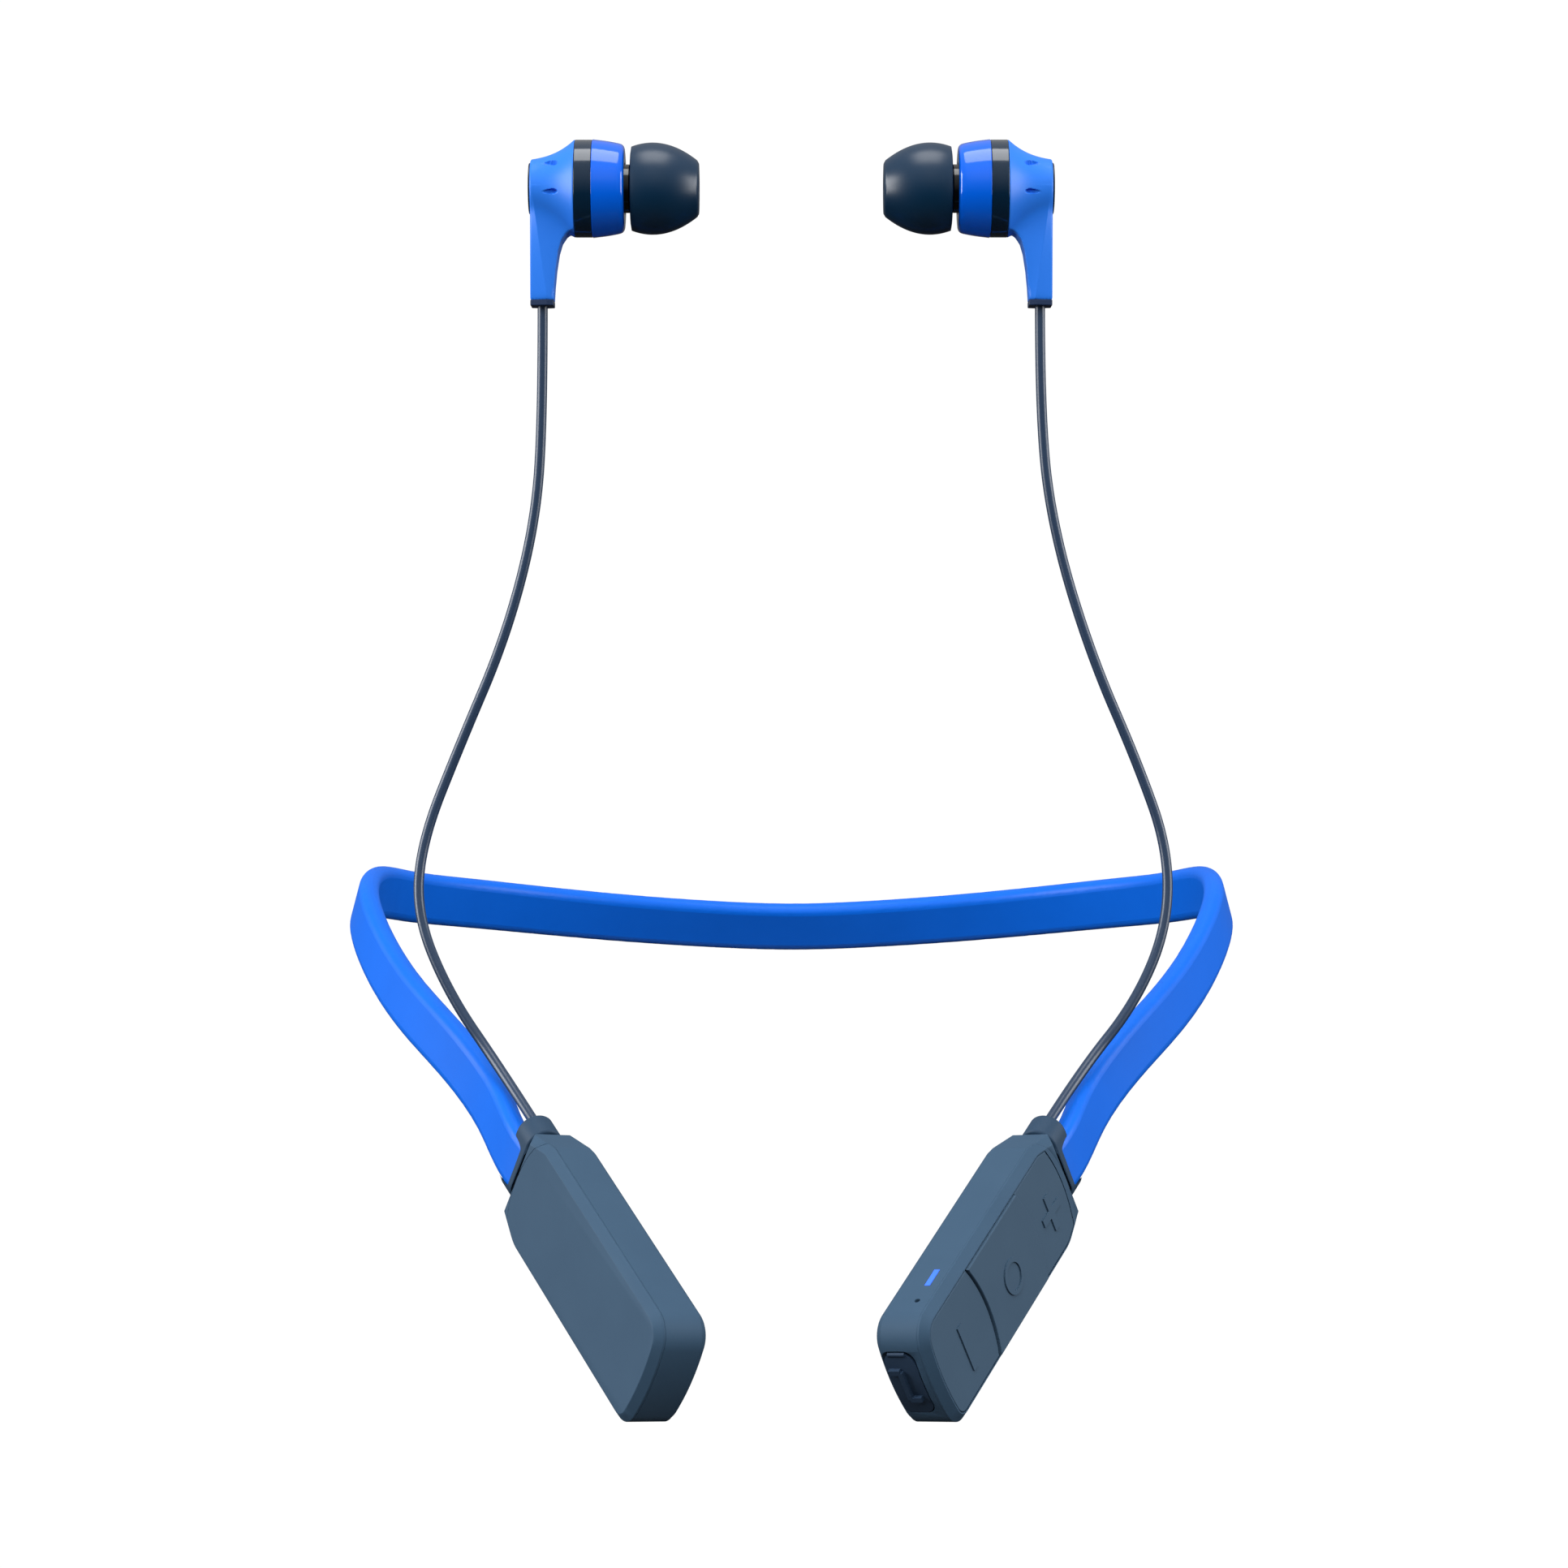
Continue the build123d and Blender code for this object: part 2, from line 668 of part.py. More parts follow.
def control_electronics(led_outside):
    """Board, switches, module, light, microphone and socket, in the control housing."""
    outline = offset(housing_outline(), -housing_wall - board_clearance)
    board = across_housing(outline, board_back_x, board_front_x)
    board -= neck_block(cavity_start_z + board_clearance)
    board -= box_at(
        (-face_x, face_x), (low_side, high_side), (receptacle_back_z - board_clearance, past_end)
    )
    keep_place("circuit_board", board, 1)
    switches = []
    for name, middle in key_middles.items():
        half = switch_size / 2
        can = box_at((board_front_x, switch_top_x), (-half, half), (middle - half, middle + half))
        base = board_front_x + plunger_floor
        well = pin_inwards(name, plunger_diameter / 2 + plunger_clearance, base, switch_top_x + 1)
        switches.append(can - well)
    keep_place("tact_switches", Compound(switches), 1)
    depth, width, length = module_size
    module = box_at(
        (board_back_x - depth, board_back_x),
        (housing_offset - width / 2, housing_offset + width / 2),
        (module_start_z, module_start_z + length),
    )
    keep_place("bluetooth_module", module, 1)
    height, width, length = led_size
    status_led = box_at(
        (board_front_x, board_front_x + height),
        (led_outside - width, led_outside),
        (light_z - length / 2, light_z + length / 2),
    )
    keep_place("status_led", status_led, 1)
    height, width, length = microphone_size
    can_outside = high_side - housing_wall - wall_gap
    microphone = box_at(
        (light_x - height / 2, light_x + height / 2),
        (can_outside - width, can_outside),
        (microphone_z - length / 2, microphone_z + length / 2),
    )
    keep_place("microphone", microphone, 1)
    depth, width, length = receptacle_size
    inside_depth = depth - 2 * receptacle_wall
    inside_width = width - 2 * receptacle_wall
    can = receptacle_bar(depth, width, receptacle_back_z, receptacle_mouth_z)
    can -= receptacle_bar(inside_depth, inside_width, receptacle_back_z - 1, past_end)
    keep_place("usb_receptacle", can, 1)
    room = 2 * contact_clearance
    block_end = receptacle_back_z + tongue_block
    block = receptacle_bar(inside_depth - room, inside_width - room, receptacle_back_z, block_end)
    tongue = box_at(
        (port_cover_centre_x - tongue_thickness / 2, port_cover_centre_x + tongue_thickness / 2),
        (port_cover_centre_y - tongue_width / 2, port_cover_centre_y + tongue_width / 2),
        (block_end - tongue_block / 2, receptacle_mouth_z - port_plug_depth - tongue_block / 2),
    )
    keep_place("usb_contact_tongue", block + tongue, 1)


# ------------------------------------------------------------ earbuds
rear_end = badge_thickness + rear_shell_length
ring_end = rear_end + accent_ring_length
front_end = ring_end + front_shell_length
base_end = front_end + nozzle_base_length
tip_end = base_end + eartip_length
nozzle_end = base_end + nozzle_length
front_inner = front_end - 1.0
step_x = ring_end + 1.5
cavity_radius = driver_radius + fit_clearance
stem_middle_x = badge_thickness + stem_depth_foot / 2


def stem_section(z, sizes):
    """A faceted section of the stem at one height: flat outside, widest at its ridge."""
    ridge_x, inner_x, outer_half, ridge_half, inner_half = sizes
    half = [(badge_thickness, outer_half), (ridge_x, ridge_half), (inner_x, inner_half)]
    points = half + [(x, -y) for x, y in reversed(half)]
    return Plane.XY.offset(z) * make_face(Polyline(*points, close=True))


def rear_shell():
    """Flared back of an earbud, with its faceted stem and two oval vents."""
    flare_end = rear_end - 0.2
    flare_middle = (badge_thickness + flare_end) / 2
    waist = (back_radius + body_radius) / 2 - flare_dip
    flare = ThreePointArc(
        (badge_thickness, back_radius), (flare_middle, waist), (flare_end, body_radius)
    )
    rest = Polyline(
        (flare_end, body_radius),
        (rear_end, body_radius),
        (rear_end, 0),
        (badge_thickness, 0),
        (badge_thickness, back_radius),
    )
    shell = revolve(Plane.XY * make_face([flare, rest]), Axis.X)
    foot = stem_section(stem_cap_thickness - stem_length, stem_foot_sizes)
    stem = loft([stem_section(z, sizes) for z, sizes in stem_sections] + [foot], ruled=True)
    hollow = ring_of([
        (badge_thickness + shell_wall, 0),
        (badge_thickness + shell_wall, back_radius - shell_wall),
        (rear_end - shell_wall - 0.2, cavity_radius - shell_wall),
        (rear_end - 1.0, cavity_radius),
        (rear_end, cavity_radius),
        (rear_end, 0),
    ])
    shell = shell + stem - hollow
    for height in vent_heights:
        start = sqrt(waist ** 2 - height ** 2) - vent_depth
        vent = Plane.XZ.offset(start) * Pos(flare_middle, height) * SlotOverall(*vent_size)
        shell -= extrude(vent, body_radius)
    return shell


def stem_cap():
    """The soft cap round the cord at the foot of the stem."""
    low = stem_section(-stem_length, stem_foot_sizes)
    high = stem_section(stem_cap_thickness - stem_length, stem_foot_sizes)
    return loft([low, high], ruled=True)


def front_shell():
    """Gloss cup round the driver, with a rounded front edge and a bore for the nozzle."""
    edge = front_shell_edge_radius
    end_radius = front_shell_end_radius
    bore = nozzle_base_radius + fit_clearance
    rounding = ThreePointArc(
        (front_end - edge, end_radius),
        (front_end - edge * (1 - sin(pi / 4)), end_radius - edge * (1 - cos(pi / 4))),
        (front_end, end_radius - edge),
    )
    side = ThreePointArc(
        (ring_end, body_radius),
        ((ring_end + front_end - edge) / 2, (body_radius + end_radius) / 2 + 0.12),
        (front_end - edge, end_radius),
    )
    inside = Polyline(
        (front_end, end_radius - edge),
        (front_end, bore),
        (front_inner, bore),
        (front_inner, cavity_radius - 0.8),
        (step_x, cavity_radius - 0.8),
        (step_x, cavity_radius),
        (ring_end, cavity_radius),
        (ring_end, body_radius),
    )
    return revolve(Plane.XY * make_face([side, rounding, inside]), Axis.X)


def nozzle():
    return ring_of([
        (front_inner - 0.7, nozzle_bore_radius),
        (front_inner - 0.7, nozzle_base_radius + 0.8),
        (front_inner, nozzle_base_radius + 0.8),
        (front_inner, nozzle_base_radius),
        (base_end, nozzle_base_radius),
        (base_end, nozzle_radius),
        (nozzle_end - 2.0, nozzle_radius),
        (nozzle_end - 1.7, nozzle_barb_radius),
        (nozzle_end - 1.1, nozzle_barb_radius),
        (nozzle_end, nozzle_radius - 0.1),
        (nozzle_end, nozzle_bore_radius + 0.4),
        (nozzle_end - 0.4, nozzle_bore_radius + 0.4),
        (nozzle_end - 0.4, nozzle_bore_radius),
    ])


def eartip():
    """Soft dome with a core sleeve that pushes over the nozzle and an open skirt round it."""
    widest_x = base_end + eartip_widest
    dome = Spline(
        (base_end, eartip_back_radius),
        (widest_x, eartip_radius),
        (base_end + 0.66 * eartip_length, eartip_radius * 0.905),
        (tip_end - 0.7, eartip_front_radius + 0.75),
        (tip_end, eartip_front_radius - 0.2),
    )
    bore = nozzle_barb_radius + fit_clearance
    core = bore + eartip_core_wall
    skirt_end = tip_end - 3.6
    lining = ThreePointArc(
        (base_end, eartip_back_radius - eartip_skin),
        (widest_x, eartip_radius - eartip_skin),
        (skirt_end, eartip_radius * 0.9 - eartip_skin),
    )
    front = Polyline(
        (tip_end, eartip_front_radius - 0.2),
        (tip_end, nozzle_bore_radius + 0.2),
        (nozzle_end + 0.1, nozzle_bore_radius + 0.2),
        (nozzle_end + 0.1, bore),
        (base_end, bore),
        (base_end, core),
        (skirt_end, core),
        (skirt_end, eartip_radius * 0.9 - eartip_skin),
    )
    rim = Line((base_end, eartip_back_radius - eartip_skin), (base_end, eartip_back_radius))
    return revolve(Plane.XY * make_face([dome, front, lining, rim]), Axis.X)


def driver_pieces():
    """The driver: a can with a stepped mouth, its magnet, the coil and the film across it."""
    back = rear_end + driver_gap
    base = back + driver_base
    front = step_x
    seat = front - driver_base
    lip = driver_radius - driver_rim
    inside = driver_radius - driver_wall
    coil_radius = magnet_radius + coil_gap
    coil_outside = coil_radius + coil_wall
    film_radius = lip - coil_gap / 2
    return {
        "driver_frame": ring_of([
            (back, 0), (back, driver_radius), (front, driver_radius), (front, lip),
            (seat, lip), (seat, inside), (base, inside), (base, 0),
        ]),
        "driver_magnet": ring_of([
            (base, 0), (base, magnet_radius), (front - magnet_gap, magnet_radius),
            (front - magnet_gap, 0),
        ]),
        "voice_coil": ring_of([
            (seat - coil_length, coil_radius), (seat - coil_length, coil_outside),
            (seat, coil_outside), (seat, coil_radius),
        ]),
        "driver_diaphragm": ring_of([
            (seat, 0), (seat, film_radius), (seat + film_thickness, film_radius),
            (seat + film_thickness, coil_outside), (seat + film_thickness + dome_height, 0),
        ]),
    }


def earbud_pieces():
    screen_seat = nozzle_bore_radius + 0.4 - 0.05
    pieces = {
        "earbud_rear_shell": rear_shell(),
        "earbud_stem_cap": stem_cap(),
        "earbud_badge": Rot(0, 90, 0) * extrude(Circle(badge_radius), badge_thickness),
        "earbud_accent_ring": ring_of([
            (rear_end, cavity_radius), (rear_end, body_radius), (ring_end, body_radius),
            (ring_end, cavity_radius),
        ]),
        "earbud_front_shell": front_shell(),
        "earbud_nozzle": nozzle(),
        "nozzle_screen": Pos(nozzle_end - 0.35, 0, 0) * Rot(0, 90, 0) * extrude(
            Circle(screen_seat), 0.2
        ),
        "eartip": eartip(),
    }
    pieces.update(driver_pieces())
    place = Location((-earbud_half_spacing, earbud_y, earbud_z))
    for name, shape in pieces.items():
        placed = place * shape
        keep("left_" + name, placed)
        keep("right_" + name, to_other_side(placed))


# ------------------------------------------------------------ cords
def cord_pieces():
    """A plain tube for each cord: straight runs and tangent arcs from the stem to the collar."""
    stem_foot = Vector(earbud_half_spacing - stem_middle_x, earbud_y, earbud_z - stem_length)
    collar_mouth = (end_plane.location * Pos(0, cord_above_strap, collar_back)).position
    for name, side, bends in (("right_cord", 1, right_cord_bends), ("left_cord", -1, left_cord_bends)):
        start = (side * stem_foot.X, stem_foot.Y, stem_foot.Z)
        finish = (side * collar_mouth.X, collar_mouth.Y, collar_mouth.Z)
        points = [start] + bends + [finish]
        radii = bend_radii(points)
        path = FilletPolyline(*points, radius=radii)
        section = Plane(origin=start, z_dir=path.tangent_at(0)) * Circle(cord_diameter / 2)
        tube = sweep(section, path=path)
        expected = pi * cord_diameter ** 2 / 4 * path.length
        print(name, "points", [tuple(round(c, 2) for c in p) for p in points])
        print(name, "length", round(path.length, 2), "radii", [round(r, 1) for r in radii])
        print(name, "volume", round(tube.volume, 2), "expected", round(expected, 2))
        keep(name, tube)


def main():
    os.makedirs("parts", exist_ok=True)
    strap_pieces()
    sleeve = collar()
    keep_place("right_end_collar", sleeve, 1)
    keep_place("left_end_collar", sleeve, -1)
    battery_pieces()
    control_pieces()
    control_keys()
    earbud_pieces()
    cord_pieces()
    for name, shape in nodes.items():
        export_step(shape, f"parts/{name}.step")


main()
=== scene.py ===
# %% [markdown]
# # Neckband earphones
#
# This file is a lesson in making a small wearable product look real. The earphones are shown
# as they are worn: a springy strap behind the neck, a slab-shaped housing at each front end,
# and an earbud on a thin cord from each housing. The engineering model is already there, so
# everything here is made round it, in its own frame and in metres.

# %% Load the engineering model
import json
import math

import bmesh
import bpy
import numpy as np
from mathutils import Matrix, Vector


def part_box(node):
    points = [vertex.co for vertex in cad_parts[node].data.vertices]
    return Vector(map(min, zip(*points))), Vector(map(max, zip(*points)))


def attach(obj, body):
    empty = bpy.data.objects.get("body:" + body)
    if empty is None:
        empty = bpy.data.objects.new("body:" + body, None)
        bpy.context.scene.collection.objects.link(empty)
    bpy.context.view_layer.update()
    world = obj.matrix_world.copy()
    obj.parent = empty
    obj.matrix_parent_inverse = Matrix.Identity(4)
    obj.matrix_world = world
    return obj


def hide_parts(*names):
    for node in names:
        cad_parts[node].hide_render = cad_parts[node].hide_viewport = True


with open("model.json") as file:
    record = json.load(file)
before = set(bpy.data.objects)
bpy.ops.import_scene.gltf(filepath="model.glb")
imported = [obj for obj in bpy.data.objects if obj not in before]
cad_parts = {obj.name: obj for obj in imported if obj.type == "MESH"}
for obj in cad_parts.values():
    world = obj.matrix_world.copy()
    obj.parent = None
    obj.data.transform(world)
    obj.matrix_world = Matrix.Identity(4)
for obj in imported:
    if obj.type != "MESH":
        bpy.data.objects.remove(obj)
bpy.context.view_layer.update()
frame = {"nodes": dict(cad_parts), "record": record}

MM = 0.001

# %% [markdown]
# ## The camera
#
# A product shot is taken from far away with a long lens, so that near and far parts keep
# nearly the same scale. A wide lens close by would also fill the picture, but it would swell
# the housings, which stand in front. The camera is level and straight in front of the nape, so
# the two halves look like mirror images.

# %% Camera
lens_data = bpy.data.cameras.new("product_camera")
lens_data.lens = 95.03
lens_data.sensor_width = 36.0
lens_data.clip_end = 20.0
camera = bpy.data.objects.new("product_camera", lens_data)
camera.location = (0.0, -0.6540, 0.0226)
camera.rotation_euler = (math.radians(90), 0.0, math.radians(0.101))
bpy.context.scene.collection.objects.link(camera)
bpy.context.scene.camera = camera
print("camera at", tuple(camera.location))

# %% [markdown]
# ## The cords
#
# Each earbud hangs on a thin round cord of about 120 mm. A cord could be a chain of straight
# cylinders, but a person sees every joint in that. One smooth NURBS curve with a round bevel
# has no joints. Its control points are the corners of the route, so it leaves the stem
# straight down, swings out past the neck and comes back along the strap into the collar.

# %% Cords as smooth curves
CORD_DIAMETER = 1.4 * MM
POINT_SHARE = 0.001      # a point's radius widens the curve's bounding box, so it is kept small
CORD_ROUTES = {
    "right_cord": [
        (34.0, -88.0, 87.85), (34.0, -88.0, 71.5), (36.0, -88.0, 56.5), (41.0, -88.5, 40.0),
        (47.2, -89.0, 25.6), (51.3, -90.2, 13.8), (51.0, -92.2, 3.1), (46.4, -95.4, -7.0),
        (38.91, -99.39, -15.72), (33.67, -108.51, -22.3),
    ],
    "left_cord": [
        (-34.0, -88.0, 87.85), (-34.0, -88.0, 72.5), (-35.0, -88.0, 58.2), (-39.0, -88.5, 42.7),
        (-45.3, -89.0, 27.8), (-50.3, -90.2, 14.9), (-50.9, -92.4, 5.0), (-46.3, -95.6, -5.6),
        (-38.91, -99.39, -15.72), (-33.67, -108.51, -22.3),
    ],
}


def make_cord(name, route):
    """A round cord: one open quadratic NURBS spline through the pull of its control points."""
    data = bpy.data.curves.new(name + "_jacket", "CURVE")
    data.dimensions = "3D"
    spline = data.splines.new("NURBS")
    spline.points.add(len(route) - 1)
    for point, place in zip(spline.points, route):
        point.co = (place[0] * MM, place[1] * MM, place[2] * MM, 1.0)
        point.radius = POINT_SHARE
    spline.order_u = 3
    spline.use_endpoint_u = True
    spline.resolution_u = 16
    data.bevel_depth = CORD_DIAMETER / 2 / POINT_SHARE
    data.bevel_resolution = 6
    data.use_fill_caps = True
    cord = bpy.data.objects.new(name + "_jacket", data)
    bpy.context.scene.collection.objects.link(cord)
    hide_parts(name)
    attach(cord, "neckband")
    return cord


def centreline(cord):
    """The points of a cord's own smooth line, read from the curve without its bevel."""
    bare = cord.data.copy()
    bare.bevel_depth = 0.0
    probe = bpy.data.objects.new("probe", bare)
    bpy.context.scene.collection.objects.link(probe)
    mesh = bpy.data.meshes.new_from_object(probe)
    points = np.zeros(len(mesh.vertices) * 3)
    mesh.vertices.foreach_get("co", points)
    bpy.data.objects.remove(probe)
    bpy.data.meshes.remove(mesh)
    bpy.data.curves.remove(bare)
    return points.reshape(-1, 3)


cords = {name: make_cord(name, route) for name, route in CORD_ROUTES.items()}
for name, cord in cords.items():
    line = centreline(cord)

# %% [markdown]
# ## A small material kit
#
# Nearly everything here is moulded plastic or rubber, and such surfaces differ less in colour
# than in how they scatter light. One helper mixes a faint cloudiness into the colour, lets the
# roughness wander, and adds a fine grain as bump. The patterns follow Object coordinates, so
# they don't slide when a part moves.

# %% Material kit
MIX_FIRST, MIX_SECOND, MIX_RESULT = 6, 7, 2      # a Mix node's colour sockets


def linear(*screen_colour):
    """Linear light from the 0 to 255 numbers of a screen colour."""
    shares = np.array(screen_colour) / 255.0
    low = shares / 12.92
    high = ((shares + 0.055) / 1.055) ** 2.4
    return tuple(float(v) for v in np.where(shares <= 0.04045, low, high)) + (1.0,)


def noise(tree, place, size, detail, stretch=(1.0, 1.0, 1.0)):
    """A noise pattern in Object coordinates: its grain is size mm, longer where stretch is less."""
    mapping = tree.nodes.new("ShaderNodeMapping")
    mapping.inputs["Scale"].default_value = stretch
    pattern = tree.nodes.new("ShaderNodeTexNoise")
    pattern.inputs["Scale"].default_value = 1.0 / (size * MM)
    pattern.inputs["Detail"].default_value = detail
    tree.links.new(place.outputs["Object"], mapping.inputs["Vector"])
    tree.links.new(mapping.outputs["Vector"], pattern.inputs["Vector"])
    return pattern


def surface(name, colour, darker, roughness, wander=0.05, grain=0.12, grain_size=0.1, cloud=7.0,
            stretch=(1.0, 1.0, 1.0), coat=0.0, coat_roughness=0.06, metallic=0.0, ior=1.5):
    """A made surface: cloudy colour, wandering roughness and a fine grain, sizes in mm."""
    material = bpy.data.materials.new(name)
    material.use_nodes = True
    tree = material.node_tree
    shader = tree.nodes["Principled BSDF"]
    place = tree.nodes.new("ShaderNodeTexCoord")
    clouds = noise(tree, place, cloud, 5.0)
    mix = tree.nodes.new("ShaderNodeMix")
    mix.data_type = "RGBA"
    mix.inputs[MIX_FIRST].default_value = darker
    mix.inputs[MIX_SECOND].default_value = colour
    tree.links.new(clouds.outputs["Fac"], mix.inputs[0])
    tree.links.new(mix.outputs[MIX_RESULT], shader.inputs["Base Color"])
    fine = noise(tree, place, grain_size, 3.0, stretch)
    spread = tree.nodes.new("ShaderNodeMapRange")
    spread.inputs["To Min"].default_value = roughness - wander
    spread.inputs["To Max"].default_value = roughness + wander
    tree.links.new(fine.outputs["Fac"], spread.inputs["Value"])
    tree.links.new(spread.outputs["Result"], shader.inputs["Roughness"])
    bump = tree.nodes.new("ShaderNodeBump")
    bump.inputs["Strength"].default_value = grain
    bump.inputs["Distance"].default_value = 0.02 * MM
    tree.links.new(fine.outputs["Fac"], bump.inputs["Height"])
    tree.links.new(bump.outputs["Normal"], shader.inputs["Normal"])
    shader.inputs["Metallic"].default_value = metallic
    shader.inputs["IOR"].default_value = ior
    shader.inputs["Coat Weight"].default_value = coat
    shader.inputs["Coat Roughness"].default_value = coat_roughness
    return material


# %% [markdown]
# ## Finishes that show
#
# The strap is a satin silicone, the housings have a soft-touch lacquer with almost no shine,
# the earbuds set a fine matte shell against a polished one, and the eartips are a smooth
# silicone with broad dull highlights.

# %% Finishes that show
finishes = {
    "strap_rubber": surface("strap_silicone", linear(6, 100, 216), linear(3, 94, 206), 0.42,
                            ior=1.3),
    "housing_soft_touch": surface("soft_touch_navy", linear(56, 80, 102), linear(51, 74, 96), 0.6,
                                  grain=0.3, grain_size=0.09, ior=1.25),
    "key_soft_touch": surface("key_silicone", linear(60, 82, 102), linear(55, 76, 96), 0.6,
                              grain=0.25, grain_size=0.09, ior=1.25),
    "collar_rubber": surface("collar_rubber", linear(42, 64, 86), linear(37, 58, 79), 0.55,
                             grain=0.2, ior=1.3),
    "port_cover_rubber": surface("port_cover_rubber", linear(42, 60, 82), linear(38, 55, 76), 0.5,
                                 grain=0.2, ior=1.3),
    "cord_jacket": surface("cord_elastomer", linear(38, 56, 80), linear(32, 49, 72), 0.32,
                           grain=0.02, cloud=14.0),
    "earbud_matte_blue": surface("matte_blue", linear(40, 116, 222), linear(34, 110, 214), 0.4,
                                 grain=0.2, grain_size=0.07, ior=1.4),
    "earbud_gloss_blue": surface("gloss_blue", linear(0, 92, 216), linear(0, 88, 208), 0.14,
                                 wander=0.02, grain=0.01, coat=0.6, coat_roughness=0.03,
                                 ior=1.4),
    "accent_gloss_navy": surface("gloss_navy", linear(4, 32, 54), linear(2, 28, 48), 0.16,
                                 wander=0.02, grain=0.01, coat=0.7, coat_roughness=0.05),
    "badge_navy": surface("badge_navy", linear(6, 30, 50), linear(4, 26, 44), 0.35),
    # the stem cap is a real part, but its dark blue is painted shade: the dark band at the stem's
    # foot is its underside in shadow
    "stem_cap_rubber": surface("stem_cap_rubber", linear(14, 38, 72), linear(11, 33, 64), 0.5),
    "nozzle_black": surface("nozzle_black", linear(6, 10, 18), linear(4, 8, 14), 0.16, wander=0.02,
                            grain=0.01, coat=0.5),
    "eartip_silicone": surface("eartip_silicone", linear(4, 40, 66), linear(3, 35, 59), 0.34,
                               grain=0.05, cloud=5.0, coat=0.15, coat_roughness=0.3),
    "light_pipe": surface("lit_window", linear(58, 108, 250), linear(48, 98, 245), 0.25,
                          grain=0.01),
}
print("finishes that show:", len(finishes))

# %% [markdown]
# ## Painted shade at the ends of the strap
#
# Between each collar and its housing a narrow groove shows a little of the strap. The strap lies
# in shade there, and that shade is painted into its colour as a near-black blue. A second object
# would do, but one more mix in the strap's own material needs no new piece: it turns dark past a
# plane across the strap. The absolute value of X folds the two ends onto one, since they are
# mirror images.

# %% Painted shade on the strap at its housings
END_PLACE = Vector((33.91, -109.0, -28.6)) * MM      # a point of the housing's end, at X > 0
END_ALONG = Vector((-0.423, -0.7345, -0.5306))       # from there forwards along the housing
PAINTED_SHADE_LENGTH = 0.75 * MM                              # how far before that end dark begins
BLEND_LENGTH = 0.1 * MM

strap_tree = finishes["strap_rubber"].node_tree
strap_shader = strap_tree.nodes["Principled BSDF"]
place = strap_tree.nodes.new("ShaderNodeTexCoord")
mirrored = strap_tree.nodes.new("ShaderNodeVectorMath")
mirrored.operation = "ABSOLUTE"
parts = strap_tree.nodes.new("ShaderNodeSeparateXYZ")
whole = strap_tree.nodes.new("ShaderNodeSeparateXYZ")
folded = strap_tree.nodes.new("ShaderNodeCombineXYZ")
along = strap_tree.nodes.new("ShaderNodeVectorMath")
along.operation = "DOT_PRODUCT"
along.inputs[1].default_value = END_ALONG
edge = strap_tree.nodes.new("ShaderNodeMapRange")
edge.inputs["From Min"].default_value = END_PLACE.dot(END_ALONG) - PAINTED_SHADE_LENGTH
edge.inputs["From Max"].default_value = END_PLACE.dot(END_ALONG) - PAINTED_SHADE_LENGTH + BLEND_LENGTH
painted_groove_shade = strap_tree.nodes.new("ShaderNodeMix")
painted_groove_shade.data_type = "RGBA"
# painted shade: this near-black blue stands in for the groove's shadow on the strap
painted_groove_shade.inputs[MIX_SECOND].default_value = linear(8, 22, 36)
blue = strap_shader.inputs["Base Color"].links[0].from_socket
for source, target in (
    (place.outputs["Object"], mirrored.inputs[0]),
    (place.outputs["Object"], whole.inputs["Vector"]),
    (mirrored.outputs["Vector"], parts.inputs["Vector"]),
    (parts.outputs["X"], folded.inputs["X"]),
    (whole.outputs["Y"], folded.inputs["Y"]),
    (whole.outputs["Z"], folded.inputs["Z"]),
    (folded.outputs["Vector"], along.inputs[0]),
    (along.outputs["Value"], edge.inputs["Value"]),
    (edge.outputs["Result"], painted_groove_shade.inputs[0]),
    (blue, painted_groove_shade.inputs[MIX_FIRST]),
    (painted_groove_shade.outputs[MIX_RESULT], strap_shader.inputs["Base Color"]),
):
    strap_tree.links.new(source, target)
print("strap dark from", PAINTED_SHADE_LENGTH / MM, "mm before its housings")

# %% [markdown]
# ## The lit window
#
# The status light shines through a clear pipe in the housing's side. The pipe is given a weak
# glow of its own instead of a lamp behind it: that is cheaper, and it can't flood the housing.

# %% The window glows
window_shader = finishes["light_pipe"].node_tree.nodes["Principled BSDF"]
window_shader.inputs["Emission Color"].default_value = linear(46, 96, 255)
window_shader.inputs["Emission Strength"].default_value = 0.55
print("window emission", window_shader.inputs["Emission Strength"].default_value)

# %% [markdown]
# ## Finishes inside
#
# The parts inside are seen only when the earphones come apart, but each still gets its own
# finish: drawn and stamped metals with streaks along one direction, wrinkled battery foil,
# lacquered board, wound copper.

